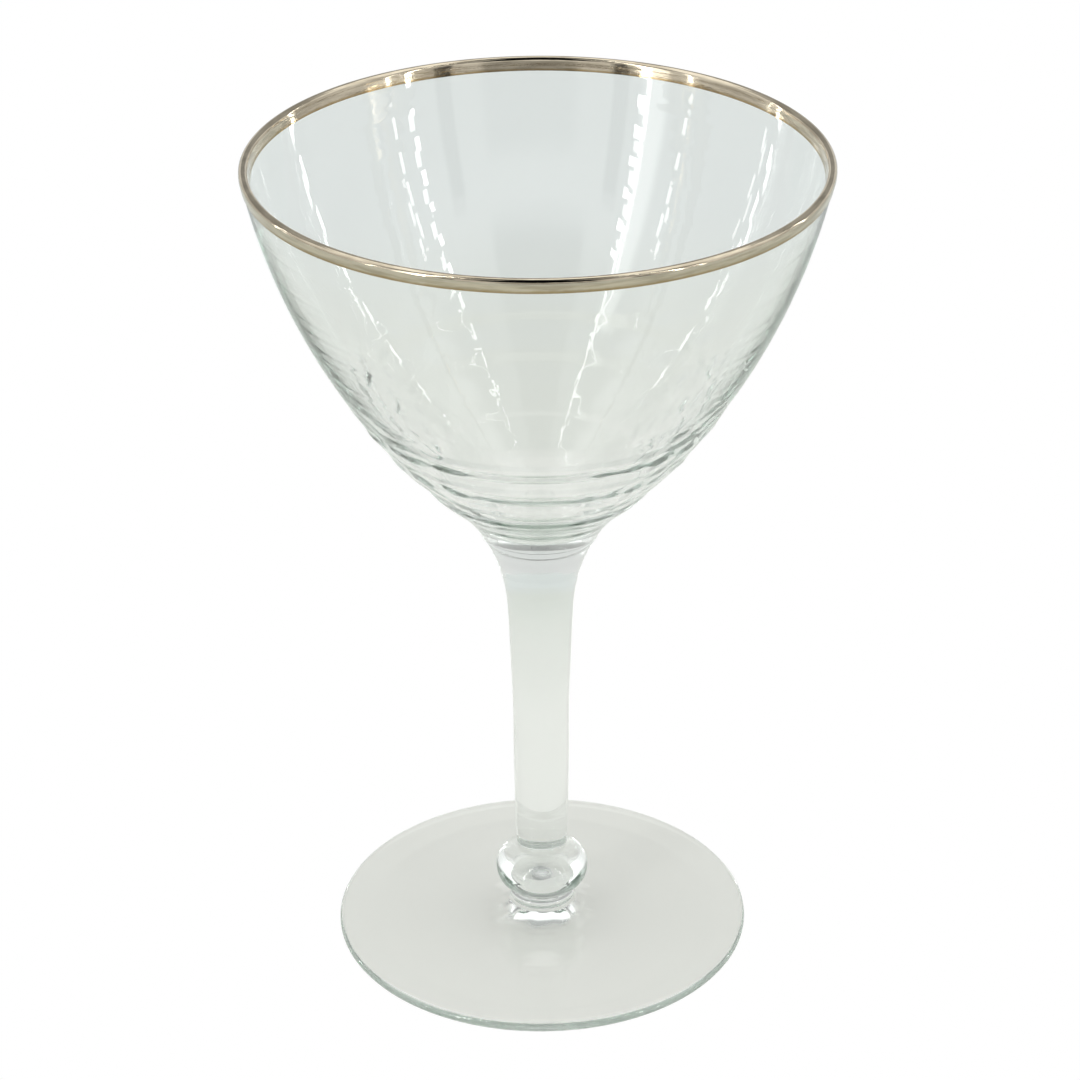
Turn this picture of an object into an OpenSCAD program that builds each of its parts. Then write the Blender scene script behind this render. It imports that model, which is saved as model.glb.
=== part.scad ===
// Stemmed cocktail glass with a metal-banded rim.
// Millimetres, +Z up. The origin is the centre of the circle on which the foot stands.
// Every piece is a body of revolution about Z, and neighbouring pieces meet face to face.

/* [Overall] */
// Height of the glass body, from the table to the top of the lip under the metal
glass_h = 129.85; // [128:0.05:131]

/* [Bowl] */
// Outer radius of the bowl where its side would reach the top of the lip
bowl_r = 42.85; // [42:0.05:44]
// Lean of the side from vertical at the lip, in degrees
lip_lean = 11; // [10:0.1:12]
// Radius of the long convex arc of the side
side_r = 101.5; // [100:0.5:104]
// Lean of the side from vertical where it turns into the waist, in degrees
waist_lean = 46; // [45:0.5:47]
// Radius of the concave waist between the bowl and the stem
waist_r = 28.5; // [27:0.5:30]
// Height at which the bowl's solid base is joined to the stem
seam_z = 68.8; // [68:0.1:70]
// Wall thickness at the lip
wall_top = 1.1; // [0.9:0.05:1.3]
// Wall thickness where the side meets the rounded floor
wall_base = 2.3; // [1.8:0.1:2.6]

/* [Rim band] */
// Thickness of the fired-on metal
band_t = 0.15; // [0.1:0.05:0.3]
// Length of side that the metal covers below the rounded lip, outside
band_out_h = 1.25; // [0.8:0.05:3]
// Length of side that the metal covers below the rounded lip, inside
band_in_h = 1.5; // [0.8:0.05:3]

/* [Stem] */
// Radius of the stem just above its neck
stem_r = 4.2; // [3.9:0.1:4.3]
// Radius of the stem where the long flare under the bowl begins
flare_start_r = 4.3; // [4.2:0.05:4.4]
// Lean of the stem where the long flare turns into the waist, in degrees
flare_lean = 3.4; // [3:0.1:4]
// Radius of the neck that stands on the knop
neck_r = 3.9; // [3.6:0.1:4.1]
// Height over which the neck widens to the stem
neck_h = 5.5; // [3:0.5:8]

/* [Knop] */
// Largest radius of the knop
knop_r = 7.25; // [6.5:0.05:8]
// Height of the knop's widest circle above the table
knop_z = 9.7; // [9.5:0.1:10]
// Half height of the knop's upper part, if it closed on the axis
knop_up = 4.5; // [4.2:0.1:5]
// Half height of the knop's lower part, if it closed on the axis
knop_down = 4.4; // [4.2:0.1:5]
// Squareness of the knop's lower part (2 is an ellipse)
knop_power = 2.3; // [2:0.1:3]

/* [Collar] */
// Largest radius of the collar between the knop and the foot
collar_r = 5.2; // [5.1:0.1:5.8]
// Height of the collar
collar_h = 1.9; // [1.6:0.1:2.1]

/* [Foot] */
// Outer radius of the foot
foot_r = 32.4; // [30:0.1:34]
// Thickness of the foot's rounded edge
edge_t = 1.5; // [1.3:0.1:1.8]
// Slope of the foot's upper face, in degrees
foot_slope = 2.2; // [1.8:0.1:2.6]
// Radius of the fillet between the upper face and the hub
hub_fillet_r = 12; // [9:0.5:13]
// Radius of the hub's flat top, which carries the collar
hub_r = 5.4; // [5.2:0.1:6]
// Slope of the hub's side at its top, in degrees
hub_lean = 30; // [26:1:32]
// Inner radius of the flat ring on which the foot stands
rest_r = 27; // [22:0.5:28]
// Depth of the shallow hollow under the foot
dish_d = 0.8; // [0.4:0.1:1.2]

/* [Hidden] */
$fn = 128;

glass_colour = [0.87, 0.90, 0.88];
band_colour = [0.76, 0.73, 0.69];

// Segments in each arc of an outline
side_n = 28;
waist_n = 8;
flare_n = 8;
neck_n = 5;
floor_n = 8;
knop_n = 9;
bead_n = 8;
fillet_n = 8;
dish_n = 4;
lip_n = 4;
band_n = 2;

// A point in the (radius, height) plane, on a circle about c, at angle a up from outward
function on_arc(c, r, a) = [c[0] + r * cos(a), c[1] + r * sin(a)];

// Values from v0 to v1 in n equal steps, both ends included
function steps(v0, v1, n) = [for (i = [0:n]) v0 + (v1 - v0) * i / n];

// An arc of n segments from angle a0 to angle a1
function arc(c, r, a0, a1, n) = [for (a = steps(a0, a1, n)) on_arc(c, r, a)];

// A list without its first point, for a stretch that starts where the last one ended
function rest_of(pts) = [for (i = [1:len(pts) - 1]) pts[i]];

function backwards(pts) = [for (i = [len(pts) - 1:-1:0]) pts[i]];

// Bowl side: an arc whose centre lies beyond the axis
side_c = [bowl_r - side_r * cos(lip_lean), glass_h + side_r * sin(lip_lean)];
waist_top = on_arc(side_c, side_r, -waist_lean);
// Waist: an arc whose centre lies outside the glass, shared by the bowl's base and the stem
waist_c = on_arc(waist_top, waist_r, -waist_lean);
seam_lean = asin((seam_z - waist_c[1]) / waist_r);
// Flare: a long arc, tangent to the waist above and upright below
flare_top = on_arc(waist_c, waist_r, 180 - flare_lean);
flare_r = (flare_top[0] - flare_start_r) / (1 - cos(flare_lean));
flare_c = on_arc(flare_top, flare_r, -flare_lean);

// Lip: half a circle as thick as the wall, whose top is the top of the glass
lip_round = wall_top / 2;
lip_end = asin((side_c[1] - glass_h + lip_round) / (side_r - lip_round));
lip_c = on_arc(side_c, side_r - lip_round, -lip_end);
// Leans at which the metal band ends, outside and inside
band_out = lip_end + asin(band_out_h / side_r);
band_in = lip_end + asin(band_in_h / side_r);

// The wall thickens steadily from the lip to the floor
wall_power = 1.5;
function wall_at(lean) =
    wall_top + (wall_base - wall_top) * pow((lean - lip_end) / (waist_lean - lip_end), wall_power);
// The outer and inner sides between two leans; grow moves them out of the glass
function outside(from, to, n, grow = 0) =
    [for (a = steps(from, to, n)) on_arc(side_c, side_r + grow, -a)];
function inside(from, to, n, grow = 0) =
    [for (a = steps(from, to, n)) on_arc(side_c, side_r - wall_at(a) - grow, -a)];
// The rounded lip from outside to inside, through its highest point
function lip(grow = 0) = concat(
    arc(lip_c, lip_round + grow, -lip_end, 90, lip_n),
    rest_of(arc(lip_c, lip_round + grow, 90, 180 - lip_end, lip_n)));

// Floor of the bowl: a spherical cap, tangent to the inner side
floor_edge = on_arc(side_c, side_r - wall_base, -waist_lean);
floor_r = floor_edge[0] / cos(waist_lean);
floor_c = [0, floor_edge[1] + floor_r * sin(waist_lean)];

// Foot: a rounded edge, a sloping face, a fillet and a flat-topped hub
edge_c = [foot_r - edge_t / 2, edge_t / 2];
edge_top = on_arc(edge_c, edge_t / 2, 90 - foot_slope);
fillet_out_r = hub_r + hub_fillet_r * (sin(hub_lean) - sin(foot_slope));
fillet_out_z = edge_top[1] + tan(foot_slope) * (edge_top[0] - fillet_out_r);
hub_z = fillet_out_z + hub_fillet_r * (cos(foot_slope) - cos(hub_lean));
fillet_c = [hub_r + hub_fillet_r * sin(hub_lean), hub_z + hub_fillet_r * cos(hub_lean)];
// Hollow under the foot: a shallow spherical cap
dish_r = (rest_r * rest_r + dish_d * dish_d) / (2 * dish_d);
dish_c = [0, dish_d - dish_r];
dish_half = asin(rest_r / dish_r);

knop_base_z = hub_z + collar_h;
// Radius of the knop: an ellipse above its widest circle, a squarer curve below it
function knop_at(z) = z >= knop_z
    ? knop_r * sqrt(1 - pow((z - knop_z) / knop_up, 2))
    : knop_r * pow(1 - pow((knop_z - z) / knop_down, knop_power), 1 / knop_power);
// The knop is cut where it is as wide as the neck
neck_z = knop_z + knop_up * sqrt(1 - pow(neck_r / knop_r, 2));

module foot() {
    color(glass_colour)
    rotate_extrude()
    polygon(concat(
        arc(dish_c, dish_r, 90, 90 - dish_half, dish_n),
        arc(edge_c, edge_t / 2, -90, 90 - foot_slope, bead_n),
        arc(fillet_c, hub_fillet_r, 270 - foot_slope, 270 - hub_lean, fillet_n),
        [[0, hub_z]]
    ));
}

module collar() {
    bead_r = collar_h / 2;
    color(glass_colour)
    rotate_extrude()
    polygon(concat(
        [[0, hub_z]],
        arc([collar_r - bead_r, hub_z + bead_r], bead_r, -90, 90, bead_n),
        [[0, knop_base_z]]
    ));
}

module knop() {
    // Equal steps of angle crowd the heights together where the outline curves most
    low = asin((knop_z - knop_base_z) / knop_down);
    high = asin((neck_z - knop_z) / knop_up);
    below = [for (a = steps(low, 0, knop_n)) knop_z - knop_down * sin(a)];
    above = [for (a = steps(0, high, knop_n)) knop_z + knop_up * sin(a)];
    color(glass_colour)
    rotate_extrude()
    polygon(concat(
        [[0, knop_base_z]],
        [for (z = concat(below, rest_of(above))) [knop_at(z), z]],
        [[0, neck_z]]
    ));
}

module stem() {
    color(glass_colour)
    rotate_extrude()
    polygon(concat(
        [[0, neck_z]],
        // The neck widens into the stem along half a cosine wave
        [for (t = steps(0, 1, neck_n))
            [neck_r + (stem_r - neck_r) * (1 - cos(180 * t)) / 2, neck_z + neck_h * t]],
        arc(flare_c, flare_r, 180, 180 - flare_lean, flare_n),
        rest_of(arc(waist_c, waist_r, 180 - flare_lean, 180 - seam_lean, waist_n)),
        [[0, seam_z]]
    ));
}

module bowl() {
    color(glass_colour)
    rotate_extrude()
    polygon(concat(
        [[0, seam_z]],
        arc(waist_c, waist_r, 180 - seam_lean, 180 - waist_lean, waist_n),
        rest_of(outside(waist_lean, band_out, side_n)),
        rest_of(outside(band_out, lip_end, band_n)),
        rest_of(lip()),
        rest_of(inside(lip_end, band_in, band_n)),
        rest_of(inside(band_in, waist_lean, side_n)),
        rest_of(arc(floor_c, floor_r, -waist_lean, -90, floor_n))
    ));
}

module rim_band() {
    // Down the outer face of the metal over the lip, then back along the glass
    color(band_colour)
    rotate_extrude()
    polygon(concat(
        outside(band_out, lip_end, band_n, band_t),
        rest_of(lip(band_t)),
        rest_of(inside(lip_end, band_in, band_n, band_t)),
        inside(band_in, lip_end, band_n),
        rest_of(backwards(lip())),
        rest_of(outside(lip_end, band_out, band_n))
    ));
}

foot();
collar();
knop();
stem();
bowl();
rim_band();
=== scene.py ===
"""Stemmed cocktail glass with a metal-banded rim: smooth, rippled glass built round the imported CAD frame."""
import math

import bpy
import numpy as np
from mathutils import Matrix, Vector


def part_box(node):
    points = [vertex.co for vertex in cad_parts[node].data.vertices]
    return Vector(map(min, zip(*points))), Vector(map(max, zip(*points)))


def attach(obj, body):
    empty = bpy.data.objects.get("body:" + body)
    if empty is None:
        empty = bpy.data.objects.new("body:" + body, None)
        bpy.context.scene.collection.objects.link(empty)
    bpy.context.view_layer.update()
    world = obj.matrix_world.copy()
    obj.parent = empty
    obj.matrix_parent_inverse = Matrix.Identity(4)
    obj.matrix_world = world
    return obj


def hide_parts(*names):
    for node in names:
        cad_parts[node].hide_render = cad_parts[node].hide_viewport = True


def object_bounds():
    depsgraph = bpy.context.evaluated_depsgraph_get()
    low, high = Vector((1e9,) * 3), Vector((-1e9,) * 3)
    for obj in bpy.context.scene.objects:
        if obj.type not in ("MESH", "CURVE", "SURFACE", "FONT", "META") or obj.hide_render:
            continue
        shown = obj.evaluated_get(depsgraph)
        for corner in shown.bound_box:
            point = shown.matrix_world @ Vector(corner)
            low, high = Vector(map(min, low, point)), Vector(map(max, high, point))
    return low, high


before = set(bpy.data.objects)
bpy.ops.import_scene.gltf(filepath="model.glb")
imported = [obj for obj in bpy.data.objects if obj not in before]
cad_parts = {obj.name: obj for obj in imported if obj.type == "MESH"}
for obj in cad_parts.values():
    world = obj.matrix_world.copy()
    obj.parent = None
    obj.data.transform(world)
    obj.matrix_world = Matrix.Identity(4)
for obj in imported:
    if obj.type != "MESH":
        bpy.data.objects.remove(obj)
cad_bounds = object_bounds()

MM = 0.001
LOW, HIGH = cad_bounds
GLASS_HEIGHT = HIGH.z - LOW.z
BOWL_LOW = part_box("bowl")[0]
BAND_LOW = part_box("rim_band")[0]

# ---------------------------------------------------------------- outlines, read from the CAD nodes

SEGMENTS = 192             # steps round each piece
CORNER = math.radians(35)  # an outline that turns by more than this has a real corner there
SAME = 0.004 * MM          # points closer than this lie on one circle


def ring_graph(node):
    """The circles of a round CAD node as (radius, height), and which circles share a face edge."""
    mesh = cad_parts[node].data
    rings, ring_of, index = [], [], {}
    for vertex in mesh.vertices:
        radius = math.hypot(vertex.co.x, vertex.co.y)
        key = (round(radius / SAME), round(vertex.co.z / SAME))
        near = [(key[0] + i, key[1] + j) for i in (0, -1, 1) for j in (0, -1, 1)]
        found = next((index[k] for k in near if k in index), None)
        if found is None:
            found = index[key] = len(rings)
            rings.append((radius, vertex.co.z))
        ring_of.append(found)
    links = {i: set() for i in range(len(rings))}
    for edge in mesh.edges:
        a, b = (ring_of[v] for v in edge.vertices)
        if a != b:
            links[a].add(b)
            links[b].add(a)
    return rings, links


def outline(node):
    """The node's half section as (radius, height) points in order. A closed one starts at its lowest."""
    rings, links = ring_graph(node)
    ends = [i for i in links if len(links[i]) == 1] or list(links)
    path = [min(ends, key=lambda i: rings[i][1])]
    while True:
        onward = [i for i in links[path[-1]] if i not in path]
        if not onward:
            break
        path.append(max(onward, key=lambda i: rings[i][0]))
    return np.array([rings[i] for i in path])


def turn_at(points, i):
    """How far the outline turns at point i, in radians."""
    before, after = points[i] - points[i - 1], points[i + 1] - points[i]
    cross = before[0] * after[1] - before[1] * after[0]
    return abs(math.atan2(cross, float(before @ after)))


def smooth(points, step):
    """The outline resampled about step apart on smooth curves, and the rows where it has a corner."""
    corners = [i for i in range(1, len(points) - 1) if turn_at(points, i) > CORNER]
    stops = [0, *corners, len(points) - 1]
    rows, sharp = [points[:1]], []
    for a, b in zip(stops, stops[1:]):
        stretch = points[a:b + 1]
        rows.append(catmull_rom(stretch, step)[1:])
        sharp.append(sum(map(len, rows)) - 1)
    return np.clip(np.concatenate(rows), points.min(axis=0), points.max(axis=0)), sharp[:-1]


def catmull_rom(points, step):
    """A smooth curve through the points, with rows about step apart along it."""
    ends = 2 * points[0] - points[1], 2 * points[-1] - points[-2]
    knots = np.concatenate([[ends[0]], points, [ends[1]]])
    spans = np.maximum(np.linalg.norm(np.diff(knots, axis=0), axis=1), 1e-9)
    curve = [points[:1]]
    for i in range(1, len(knots) - 2):
        before = (knots[i] - knots[i - 1]) / spans[i - 1]
        here = (knots[i + 1] - knots[i]) / spans[i]
        after = (knots[i + 2] - knots[i + 1]) / spans[i + 1]
        leave = (before * spans[i] + here * spans[i - 1]) / (spans[i] + spans[i - 1])
        arrive = (here * spans[i + 1] + after * spans[i]) / (spans[i] + spans[i + 1])
        count = max(1, round(spans[i] / step))
        t = (np.arange(1, count + 1) / count)[:, None]
        curve.append(
            (2 * t**3 - 3 * t**2 + 1) * knots[i] + (t**3 - 2 * t**2 + t) * leave * spans[i]
            + (3 * t**2 - 2 * t**3) * knots[i + 1] + (t**3 - t**2) * arrive * spans[i])
    return np.concatenate(curve)


def normals_of(rows):
    """Unit normals of the outline, out of the glass when the outline runs up its outside."""
    along = np.gradient(rows, axis=0)
    out = np.stack([along[:, 1], -along[:, 0]], axis=1)
    return out / np.maximum(np.linalg.norm(out, axis=1), 1e-12)[:, None]


def lengths_along(rows):
    """The length of the outline from its first row to each row."""
    return np.concatenate([[0], np.cumsum(np.linalg.norm(np.diff(rows, axis=0), axis=1))])


# ---------------------------------------------------------------- meshes

GLASS_SLOT, JOINT_SLOT = 0, 1  # a glass piece's material slots


def revolve(name, rows, sharp=(), relief=None, fused=(None, None), closed=False):
    """A mesh of the rows turned about Z. relief(rows, angles) moves each point along its normal.
    fused gives the radius of the hidden joint at the low and the high end. Its faces take JOINT_SLOT."""
    rows, sharp = joint_rows(rows, list(sharp), fused)
    vertices, first = turned_points(rows, relief)
    last = len(rows) - 1
    pairs = [(i, i + 1) for i in range(last)] + ([(last, 0)] if closed else [])
    faces, slots = [], []
    for a, b in pairs:
        faces += turned_faces(rows, first, a, b)
        slots += [JOINT_SLOT if in_joint(rows, a, b, fused) else GLASS_SLOT] * SEGMENTS
    mesh = bpy.data.meshes.new(name)
    mesh.from_pydata(vertices, [], faces)
    mesh.polygons.foreach_set("material_index", slots)
    mesh.polygons.foreach_set("use_smooth", [True] * len(faces))
    mark_sharp(mesh, {first[i] for i in sharp if rows[i][0] > SAME})
    mesh.validate()
    piece = bpy.data.objects.new(name, mesh)
    bpy.context.scene.collection.objects.link(piece)
    return piece


def turned_points(rows, relief):
    """The vertices of the rows turned about Z, and the number of each row's first one.
    A row on the axis has only one."""
    angles = np.arange(SEGMENTS) * math.tau / SEGMENTS
    lift = relief(rows, angles) if relief else np.zeros((len(rows), SEGMENTS))
    out = normals_of(rows)
    radius = rows[:, :1] + out[:, :1] * lift
    height = rows[:, 1:] + out[:, 1:] * lift
    grid = np.stack([radius * np.cos(angles), radius * np.sin(angles), height], axis=2)
    vertices, first = [], []
    for row, ring in zip(rows, grid):
        first.append(len(vertices))
        on_axis = row[0] < SAME
        vertices += [(0.0, 0.0, float(row[1]))] if on_axis else [tuple(map(float, p)) for p in ring]
    return vertices, first


def turned_faces(rows, first, a, b):
    """The strip of faces between rows a and b: triangles where one of them is on the axis, or else quads."""
    faces = []
    for j in range(SEGMENTS):
        k = (j + 1) % SEGMENTS
        if rows[a][0] < SAME:
            face = (first[a], first[b] + k, first[b] + j)
        elif rows[b][0] < SAME:
            face = (first[a] + j, first[a] + k, first[b])
        else:
            face = (first[a] + j, first[a] + k, first[b] + k, first[b] + j)
        faces.append(face)
    return faces


def in_joint(rows, a, b, fused):
    """Whether the strip between rows a and b lies in the hidden joint at the low or the high end."""
    widest = max(rows[a][0], rows[b][0])
    at_low = a == 0 and fused[0] is not None and widest <= fused[0] + SAME
    at_high = b == len(rows) - 1 and fused[1] is not None and widest <= fused[1] + SAME
    return at_low or at_high


def joint_rows(rows, sharp, fused):
    """Adds a joint's flat disc: a point on the axis, and one at its radius if the piece is wider there."""
    low, high = fused
    for limit, at_start in ((low, True), (high, False)):
        if limit is None:
            continue
        end = rows[0] if at_start else rows[-1]
        extra = [(0.0, end[1])]
        if end[0] > limit + SAME:
            extra.append((limit, end[1]))
        if at_start:
            rows = np.concatenate([extra, rows])
            sharp = [i + len(extra) for i in sharp] + [len(extra)] + ([1] if len(extra) == 2 else [])
        else:
            count = len(rows)
            rows = np.concatenate([rows, extra[::-1]])
            sharp = sharp + [count - 1] + ([count] if len(extra) == 2 else [])
    return rows, sharp


def mark_sharp(mesh, starts):
    """Marks as sharp the edges of the rings that start at these vertices."""
    rings = {s + j: s for s in starts for j in range(SEGMENTS)}
    sharp = [rings.get(e.vertices[0], -1) == rings.get(e.vertices[1], -2) for e in mesh.edges]
    attribute = mesh.attributes.new("sharp_edge", "BOOLEAN", "EDGE")
    attribute.data.foreach_set("value", sharp)


def window(x, low, high, soft):
    """1 between low and high, falling smoothly to 0 over soft on each side."""
    rise = np.clip((x - low) / soft + 1, 0, 1)
    fall = np.clip((high - x) / soft + 1, 0, 1)
    t = np.minimum(rise, fall)
    return t * t * (3 - 2 * t)


# ---------------------------------------------------------------- unevenness of the glass

CALM = 0.4  # the share of their full height that the wall's rings and puckers have
# Rings of the wall, in millimetres and radians: (pitch, height, drift round the glass, phase)
WALL_RINGS = ((1.5, 0.0008, 0.5, 0.3), (2.9, 0.0020, 0.3, 1.7), (6.8, 0.006, 0.2, 4.1))
INNER_RINGS = ((2.3, 0.0005, 0.7, 2.2), (5.2, 0.001, 0.4, 0.9))
# Puckers of the wall, in millimetres and radians: (waves round the glass, pitch up the side, height, phase)
PUCKERS = ((31, 9.0, 0.0008, 0.4), (-43, 5.3, 0.0006, 2.0), (24, 3.1, 0.0007, 5.1))
# Swirls low on the two sides, outside only: (waves round the glass, pitch, height, phase)
SWIRLS = ((19, 9.0, 0.095, 0.2), (-31, 6.5, 0.042, 1.1), (53, 14.0, 0.013, 3.0))
PINCH_HEIGHT = 0.035 * MM  # height of the marks round the foot's hub
# Single rings on the outside, in millimetres: (height over the joint, half width above the crest, height)
RING_TAIL = 3.5  # how many times wider a single ring is below its crest
BASE_RINGS = ((1.0, 0.3, 0.12), (10.2, 0.9, 0.30), (17.2, 1.0, 0.30), (22.8, 1.0, 0.25))


def ring_relief(s, angles, rings):
    """The height of the blown rings at lengths s along the side and angles round it."""
    wander = s / MM + 0.5 * np.sin(s / MM / 2.3) + 0.4 * np.sin(s / MM / 0.9 + 1.0)
    total = 0
    for number, (pitch, height, drift, phase) in enumerate(rings):
        slip = drift * np.sin((number + 1) * angles + phase) + 0.5 * drift * np.sin((number + 3) * angles)
        swell = 1 + 0.35 * np.sin((number + 2) * angles + 2 * phase)
        turn = math.tau * wander[:, None] / pitch + phase + slip[None]
        total = total + height * MM * swell[None] * np.sin(turn)
    return total


def slanting(s, angles, kinds):
    """The height of waves that run at a slant, so nothing round the glass is quite true."""
    total = 0
    for waves, pitch, height, phase in kinds:
        turn = math.tau * s[:, None] / MM / pitch + waves * angles[None] + phase
        total = total + height * MM * np.sin(turn)
    return total


def side_lengths(rows, top):
    """Lengths up the outside; a point inside takes that of the nearest point outside."""
    s = lengths_along(rows)
    apart = np.linalg.norm(rows[top:, None] - rows[None, :top + 1], axis=2)
    s[top:] = s[:top + 1][np.argmin(apart, axis=1)]
    return s


def base_rings(z):
    """The heights of the single rings at heights z."""
    total = np.zeros(len(z))
    for above, half, height in BASE_RINGS:
        off = z - BOWL_LOW.z - above * MM
        reach = np.where(off > 0, half, RING_TAIL * half) * MM
        total += height * MM * np.exp(-(off / reach) ** 2)
    return total * window(z, BOWL_LOW.z + 0.6 * MM, HIGH.z, 0.5 * MM)


def bowl_relief(rows, angles):
    """The wall waves as a whole: it bends reflections into dashes, and what lies behind it stays clear."""
    top = int(np.argmax(rows[:, 1]))
    z = rows[:, 1]
    outside = (np.arange(len(rows)) < top)[:, None]
    s = side_lengths(rows, top)
    # The waves fade out at the solid base, over a longer stretch, and at the metal band
    soft = np.where(z < BOWL_LOW.z + 20 * MM, 8.2 * MM, 1.2 * MM)
    fade = window(z, BOWL_LOW.z + 13 * MM, BAND_LOW.z - 1.2 * MM, soft)[:, None]
    upper = window(z, BOWL_LOW.z + 30 * MM, HIGH.z, 6 * MM)[:, None]
    wave = CALM * fade * (upper * ring_relief(s, angles, WALL_RINGS) + slanting(s, angles, PUCKERS))
    inner = CALM * fade * ring_relief(lengths_along(rows), angles, INNER_RINGS)
    low = window(z, BOWL_LOW.z + 12 * MM, BOWL_LOW.z + 25 * MM, 5 * MM)[:, None]
    swirl = low * np.cos(angles)[None] ** 2 * slanting(s, angles, SWIRLS)
    return np.where(outside, wave + base_rings(z)[:, None] + swirl, inner - wave)


def pinched(rows, angles):
    """Marks left round the hub where the foot was pressed on. The underside has none."""
    r = rows[:, :1]
    upper_face = rows[:, 1:] > LOW.z + 1.2 * MM
    near = window(r, 4.3 * MM, 8.5 * MM, 1.5 * MM) * upper_face
    marks = np.sin(7 * angles + 0.6) + 0.7 * np.sin(11 * angles + 2.0 + r / MM) + 0.5 * np.sin(17 * angles)
    return PINCH_HEIGHT * near * marks


def soft_relief(height, pitch):
    """Makes the relief of slow unevenness in hand-worked glass, from a height and a pitch in millimetres."""
    def relief(rows, angles):
        s = lengths_along(rows)[:, None] / MM
        swell = 1 + 0.4 * np.sin(2 * angles)[None]
        wave = np.sin(math.tau * s / pitch + 0.7 * np.sin(angles)[None]) * swell
        ends = np.minimum(s, s[-1] - s) / 2
        return height * MM * wave * np.clip(ends, 0, 1)
    return relief


# ---------------------------------------------------------------- materials

def new_material(name):
    """A material with no nodes yet, and a Tree that adds them."""
    material = bpy.data.materials.new(name)
    material.use_nodes = True
    material.node_tree.nodes.clear()
    return material, Tree(material.node_tree)


class Tree:
    """Short ways to add and join nodes. A value is either a number, a colour or another node's output."""

    def __init__(self, tree):
        self.tree = tree

    def node(self, kind, **values):
        node = self.tree.nodes.new(kind)
        for key, value in values.items():
            if hasattr(node, key) and key not in node.inputs:
                setattr(node, key, value)
            else:
                self.feed(node.inputs[key.replace("_", " ")], value)
        return node

    def feed(self, socket, value):
        if isinstance(value, bpy.types.NodeSocket):
            self.tree.links.new(value, socket)
        else:
            socket.default_value = value

    def math(self, operation, *values, clamp=False):
        node = self.tree.nodes.new("ShaderNodeMath")
        node.operation = operation
        node.use_clamp = clamp
        for socket, value in zip(node.inputs, values):
            self.feed(socket, value)
        return node.outputs[0]

    def mix_shader(self, factor, first, second):
        node = self.tree.nodes.new("ShaderNodeMixShader")
        for socket, value in zip(node.inputs, (factor, first, second)):
            self.feed(socket, value)
        return node.outputs[0]

    def mix_colour(self, factor, first, second):
        node = self.tree.nodes.new("ShaderNodeMix")
        node.data_type = "RGBA"
        self.feed(node.inputs["Factor"], factor)
        self.feed(node.inputs["A"], first)
        self.feed(node.inputs["B"], second)
        return node.outputs["Result"]

    def map_range(self, value, low, high, to_low, to_high):
        node = self.tree.nodes.new("ShaderNodeMapRange")
        node.interpolation_type = "SMOOTHSTEP"
        for socket, item in zip(node.inputs, (value, low, high, to_low, to_high)):
            self.feed(socket, item)
        return node.outputs["Result"]

    def noise(self, vector, scale, detail=3.0, roughness=0.5):
        node = self.tree.nodes.new("ShaderNodeTexNoise")
        self.feed(node.inputs["Vector"], vector)
        node.inputs["Scale"].default_value = scale
        node.inputs["Detail"].default_value = detail
        node.inputs["Roughness"].default_value = roughness
        return node.outputs["Fac"]

    def bump(self, height, distance, strength=1.0):
        node = self.tree.nodes.new("ShaderNodeBump")
        node.inputs["Strength"].default_value = strength
        node.inputs["Distance"].default_value = distance
        self.feed(node.inputs["Height"], height)
        return node.outputs["Normal"]

    def surface(self, shader, target="ShaderNodeOutputMaterial"):
        output = self.tree.nodes.new(target)
        self.feed(output.inputs["Surface"], shader)


WHITE = (1, 1, 1, 1)
GLASS_IOR = 1.5
GREEN_PER_METRE = 13.0          # how fast light turns green on its way through the glass
DEEP_GREEN = (0.40, 0.54, 0.46, 1)
EDGE_SHADE = (0.45, 0.48, 0.46, 1)


def clear_glass(name, lit):
    """Soda-lime glass: faintly green in its depth, with hair-fine scuffs and a little orange peel.
    lit is the share of lamp light that each surface lets straight through. Thick glass bends more away."""
    material, t = new_material(name)
    place = t.node("ShaderNodeTexCoord").outputs["Object"]
    path = t.node("ShaderNodeLightPath")
    facing = t.node("ShaderNodeNewGeometry")
    peel = t.noise(place, 90, 2)
    scuffs = t.noise(place, 1400, 4, 0.7)
    roughness = t.map_range(scuffs, 0.55, 0.8, 0.0, 0.035)
    normal = t.bump(peel, 0.02 * MM, 0.6)
    clear = t.node("ShaderNodeBsdfPrincipled", Base_Color=WHITE, Roughness=roughness,
                   IOR=GLASS_IOR, Transmission_Weight=1.0, Normal=normal).outputs[0]
    deep = t.node("ShaderNodeBsdfGlass", Color=DEEP_GREEN, Roughness=0.0,
                  IOR=GLASS_IOR, Normal=normal).outputs[0]
    # The further a ray has come through the glass, the greener it is
    passed = t.math("EXPONENT", t.math("MULTIPLY", path.outputs["Ray Length"], -GREEN_PER_METRE))
    depth = t.math("SUBTRACT", 1.0, passed)
    depth = t.math("MULTIPLY", depth, facing.outputs["Backfacing"])
    glass = t.mix_shader(depth, clear, deep)
    # Lamp light goes straight through, and less of it where the glass is seen edge on, so shadows stay soft
    edge = t.math("POWER", t.node("ShaderNodeLayerWeight", Blend=0.5).outputs["Facing"], 4.0)
    shade = t.mix_colour(edge, (lit, lit, 0.995 * lit, 1), EDGE_SHADE)
    lamp_side = t.node("ShaderNodeBsdfTransparent", Color=shade).outputs[0]
    glass = t.mix_shader(path.outputs["Is Diffuse Ray"], glass, lamp_side)
    t.surface(t.mix_shader(path.outputs["Is Shadow Ray"], glass, lamp_side))
    return material


def fused_joint():
    """Where two gathers of glass have melted together nothing shows, so the joint's disc is invisible."""
    material, t = new_material("fused_joint")
    t.surface(t.node("ShaderNodeBsdfTransparent", Color=WHITE).outputs[0])
    return material


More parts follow.
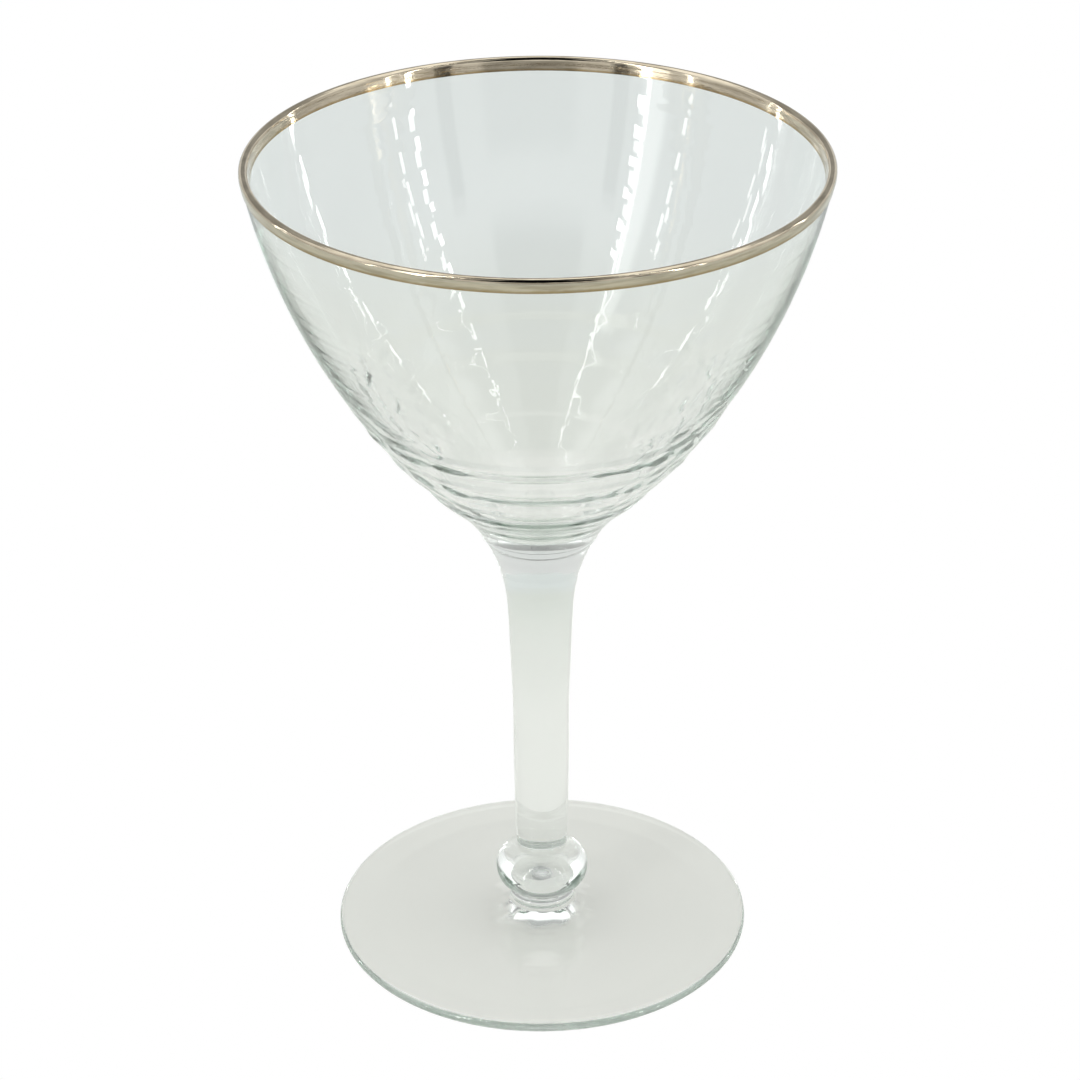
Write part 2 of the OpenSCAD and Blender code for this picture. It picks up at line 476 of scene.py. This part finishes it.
def rim_metal():
    """Fired-on platinum: bright and warm, wiped round the rim, mottled and browner at its lower edge."""
    pale, dull, brown = (0.65, 0.575, 0.45, 1), (0.46, 0.40, 0.305, 1), (0.36, 0.26, 0.12, 1)
    material, t = new_material("rim_metal")
    place = t.node("ShaderNodeTexCoord").outputs["Object"]
    height = t.node("ShaderNodeSeparateXYZ", Vector=place).outputs["Z"]
    stretch = t.tree.nodes.new("ShaderNodeMapping")
    stretch.inputs["Scale"].default_value = (1, 1, 12)
    t.feed(stretch.inputs["Vector"], place)
    wiped = t.noise(stretch.outputs["Vector"], 150, 3, 0.6)
    patches = t.noise(place, 330, 3, 0.6)
    specks = t.noise(place, 1500, 3, 0.7)
    colour = t.mix_colour(t.map_range(wiped, 0.35, 0.68, 0.0, 1.0), pale, dull)
    edge = t.math("ADD", height, t.math("MULTIPLY", t.math("SUBTRACT", patches, 0.5), 0.5 * MM))
    low = t.map_range(edge, BAND_LOW.z + 0.1 * MM, BAND_LOW.z + 0.6 * MM, 0.85, 0.0)
    colour = t.mix_colour(low, colour, brown)
    roughness = t.map_range(specks, 0.3, 0.75, 0.04, 0.15)
    normal = t.bump(t.math("ADD", wiped, patches), 0.04 * MM, 0.35)
    metal = t.node("ShaderNodeBsdfPrincipled", Base_Color=colour, Metallic=1.0, Roughness=roughness,
                   Normal=normal).outputs[0]
    t.surface(metal)
    return material


# ---------------------------------------------------------------- pieces

GLASS = clear_glass("clear_glass", 0.99)  # the bowl and the foot
THICK = clear_glass("thick_glass", 0.72)  # the collar, the knop and the stem
JOINT = fused_joint()
METAL = rim_metal()


def finish_piece(piece, node, materials):
    """Gives the piece its materials, hangs it on the root body and hides the CAD node that it replaces."""
    for material in materials:
        piece.data.materials.append(material)
    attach(piece, "root")
    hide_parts(node)
    return piece


def inside_box(rows, node):
    """The rows with no radius past the node's own box, a hair narrower on one side because of its facets."""
    low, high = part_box(node)
    reach = min(-low[0], high[0], -low[1], high[1])
    return np.minimum(rows, (reach, high[2]))


def glass_piece(node, material, step, fused, relief=None):
    """The CAD node as smooth glass, with rows about step apart."""
    rows, sharp = smooth(outline(node), step)
    piece = revolve(node + "_glass", inside_box(rows, node), sharp, relief, fused)
    return finish_piece(piece, node, (material, JOINT))


def joint_radius(below, above):
    """The radius of the flat disc where two neighbours meet."""
    top = outline(below)
    bottom = outline(above)
    level = bottom[:, 1].min()
    wide_below = max(r for r, z in top if abs(z - level) < SAME)
    wide_above = max(r for r, z in bottom if abs(z - level) < SAME)
    return min(wide_below, wide_above)


def make_glass():
    """The five glass pieces from the table up, each joined to the next over the disc that they share."""
    stack = ("foot", "collar", "knop", "stem", "bowl")
    joints = [joint_radius(a, b) for a, b in zip(stack, stack[1:])]
    glass_piece("foot", GLASS, 0.4 * MM, (None, joints[0]), pinched)
    glass_piece("collar", THICK, 0.12 * MM, (joints[0], joints[1]))
    glass_piece("knop", THICK, 0.16 * MM, (joints[1], joints[2]), soft_relief(0.02, 5.0))
    glass_piece("stem", THICK, 0.3 * MM, (joints[2], joints[3]), soft_relief(0.03, 17.0))
    glass_piece("bowl", GLASS, 0.24 * MM, (joints[3], None), bowl_relief)


def make_band():
    """The metal on the lip: the CAD node's closed section, smoothed and turned."""
    section = outline("rim_band")
    rows = np.concatenate([section, section[:1]])
    rows, sharp = smooth(rows, 0.12 * MM)
    rows = inside_box(rows[:-1], "rim_band")
    piece = revolve("rim_band_metal", rows, [i for i in sharp if i < len(rows)], closed=True)
    return finish_piece(piece, "rim_band", (METAL,))


# ---------------------------------------------------------------- stage, light and camera

FLOOR_HALF_SIZE = 5 * GLASS_HEIGHT
FLOOR_GAP = 0.05 * MM  # keeps the floor clear of the foot's resting ring


def make_floor():
    """A pale floor, paler close round the glass: painted light that lifts the shade the glass casts on it. It
    looks white itself, and the glass shows it as a soft grey with soft shadows.
    A camera under it looks through it, so the underside of the foot can be seen."""
    mesh = bpy.data.meshes.new("floor")
    size = FLOOR_HALF_SIZE
    corners = [(x * size, y * size, LOW.z - FLOOR_GAP) for x, y in ((-1, -1), (1, -1), (1, 1), (-1, 1))]
    mesh.from_pydata(corners, [], [(0, 1, 2, 3)])
    floor = bpy.data.objects.new("floor", mesh)
    bpy.context.scene.collection.objects.link(floor)
    material, t = new_material("pale_floor")
    place = t.node("ShaderNodeTexCoord").outputs["Object"]
    reach = t.node("ShaderNodeVectorMath", operation="LENGTH")
    t.feed(reach.inputs[0], place)
    away = reach.outputs["Value"]
    # near is paler than middle and far: painted light that lifts the shade the glass casts on the floor close
    # round it
    near, middle, far = (0.985, 0.99, 0.95, 1), (0.83, 0.86, 0.81, 1), (0.83, 0.87, 0.86, 1)
    colour = t.mix_colour(t.map_range(away, 0.4 * GLASS_HEIGHT, 1.2 * GLASS_HEIGHT, 0.0, 1.0), near, middle)
    colour = t.mix_colour(t.map_range(away, 1.3 * GLASS_HEIGHT, 2.3 * GLASS_HEIGHT, 0.0, 1.0), colour, far)
    cloth = t.node("ShaderNodeBsdfDiffuse", Color=colour).outputs[0]
    white = t.node("ShaderNodeEmission", Color=WHITE, Strength=1.0).outputs[0]
    clear = t.node("ShaderNodeBsdfTransparent", Color=WHITE).outputs[0]
    from_below = t.node("ShaderNodeNewGeometry").outputs["Backfacing"]
    seen = t.node("ShaderNodeLightPath").outputs["Is Camera Ray"]
    t.surface(t.mix_shader(seen, cloth, t.mix_shader(from_below, white, clear)))
    mesh.materials.append(material)


# Window lights round the glass, in degrees:
# (azimuth, half width, low, high, brightness, share of each pane that is lit)
PANE = 5.0        # height of a pane
PANE_SHIFT = 4.0  # radians added to the elevation, so that it stays positive; sets where the panes begin
WINDOWS = (
    (-37, 0.8, -9, 38, 20.0, 0.36), (-37.5, 0.35, 39, 66, 16.0, 0.45), (-28, 0.4, -9, 26, 8.0, 0.6),
    (-135.6, 0.3, -9, 66, 12.0, 0.85), (-133.4, 1.4, -9, 38, 20.0, 0.25), (-134.6, 0.7, 39, 64, 16.0, 0.3),
    (-154, 0.5, -9, 26, 8.0, 0.45), (158, 0.6, -12, 26, 12.0, 0.45), (164, 0.3, -12, 8, 6.0, 0.5),
    (25, 0.6, -12, 26, 12.0, 0.45),
)


# Darker parts of the room, in degrees: (how much darker, azimuth, half width, low, high, softness)
SHADES = (
    (0.995, -90, 22, 31, 92, 5),    # whoever takes the photograph leans over the glass
    (0.90, 0, 180, 79, 91, 6),      # and keeps out the light straight above
    (0.85, -52, 2.5, -4, 22, 1.5),  # a narrow upright on the right
    (0.85, -124, 2.5, -4, 22, 1.5),  # and one on the left
    (0.70, -90, 62, 42, 76, 22),    # the ceiling on that side is dim
    (0.45, -87, 17, -9, 15, 4),     # the photographer's side of the room, low down
    (0.60, 90, 66, 17, 46, 4),      # the far wall, over a pale worktop
)
# A soft glow beside the brightest window, in degrees: (azimuth, half width, low, high, softness)
GLOW = (-139, 2.5, -6, 40, 5)
GLOW_BRIGHTNESS = 1.8


def make_world():
    """A pale studio: an even room with tall narrow windows round it and a dark figure where the photographer
    stands. All of it is fixed in the room, and the camera itself sees plain white."""
    world = bpy.data.worlds.new("studio")
    world.use_nodes = True
    world.node_tree.nodes.clear()
    t = Tree(world.node_tree)
    direction = t.node("ShaderNodeTexCoord").outputs["Generated"]
    x, y, z = t.node("ShaderNodeSeparateXYZ", Vector=direction).outputs
    azimuth = t.math("ARCTAN2", y, x)
    elevation = t.math("ARCSINE", z)

    def patch(centre, half, low, high, soft):
        """1 inside the given part of the room, falling to 0 over soft degrees."""
        off = t.math("ABSOLUTE", t.math("SUBTRACT", azimuth, math.radians(centre)))
        across = t.map_range(off, math.radians(half), math.radians(half + soft), 1.0, 0.0)
        above = t.map_range(elevation, math.radians(low - soft), math.radians(low), 0.0, 1.0)
        below = t.map_range(elevation, math.radians(high), math.radians(high + soft), 1.0, 0.0)
        return t.math("MULTIPLY", across, t.math("MULTIPLY", above, below))

    light = t.map_range(elevation, math.radians(2), math.radians(60), 0.77, 1.5)
    for amount, *where in SHADES:
        light = t.math("MULTIPLY", light, t.math("SUBTRACT", 1.0, t.math("MULTIPLY", patch(*where), amount)))
    phase = t.math("FRACT", t.math("DIVIDE", t.math("ADD", elevation, PANE_SHIFT), math.radians(PANE)))
    for centre, half, low, high, bright, share in WINDOWS:
        lit = t.map_range(phase, share, share + 0.1, 1.0, 0.0)
        lit = t.math("MULTIPLY", patch(centre, half, low, high, 0.5), lit)
        light = t.math("ADD", light, t.math("MULTIPLY", lit, bright))
    light = t.math("ADD", light, t.math("MULTIPLY", patch(*GLOW), GLOW_BRIGHTNESS))
    seen = t.node("ShaderNodeLightPath").outputs["Is Camera Ray"]
    strength = t.math("ADD", t.math("MULTIPLY", light, t.math("SUBTRACT", 1.0, seen)), seen)
    tint = t.mix_colour(seen, (0.99, 1.0, 0.99, 1), WHITE)
    background = t.node("ShaderNodeBackground", Color=tint, Strength=strength).outputs[0]
    t.surface(background, "ShaderNodeOutputWorld")
    bpy.context.scene.world = world


CAMERA_AWAY = 3.60 * GLASS_HEIGHT   # how far in front of the glass the camera stands
CAMERA_UP = 2.45 * GLASS_HEIGHT     # and how high over the table
CAMERA_PITCH = math.radians(28.15)  # how far it looks down
CAMERA_ROLL = math.radians(0.35)
CAMERA_LENS = 116.7                 # millimetres, on a sensor 36 mm wide


def make_camera():
    """Stands in front of the glass and well above it, looking down with a long lens."""
    data = bpy.data.cameras.new("camera")
    data.sensor_width = 36
    data.lens = CAMERA_LENS
    data.clip_start = 0.01
    data.clip_end = 100
    camera = bpy.data.objects.new("camera", data)
    bpy.context.scene.collection.objects.link(camera)
    camera.location = (0, -CAMERA_AWAY, LOW.z + CAMERA_UP)
    camera.rotation_mode = "XYZ"
    camera.rotation_euler = (math.pi / 2 - CAMERA_PITCH, 0, 0)
    camera.rotation_euler.rotate_axis("Z", -CAMERA_ROLL)
    bpy.context.scene.camera = camera


BOUNCES = 96  # light runs far along inside the thin wall before it leaves


def set_render():
    """True whites, and enough bounces for glass behind glass."""
    scene = bpy.context.scene
    scene.view_settings.view_transform = "Standard"
    cycles = scene.cycles
    cycles.max_bounces = BOUNCES
    cycles.transmission_bounces = BOUNCES
    cycles.glossy_bounces = BOUNCES
    cycles.transparent_max_bounces = BOUNCES // 2
    cycles.caustics_refractive = False
    cycles.caustics_reflective = False


make_camera()
make_glass()
make_band()
make_floor()
make_world()
set_render()
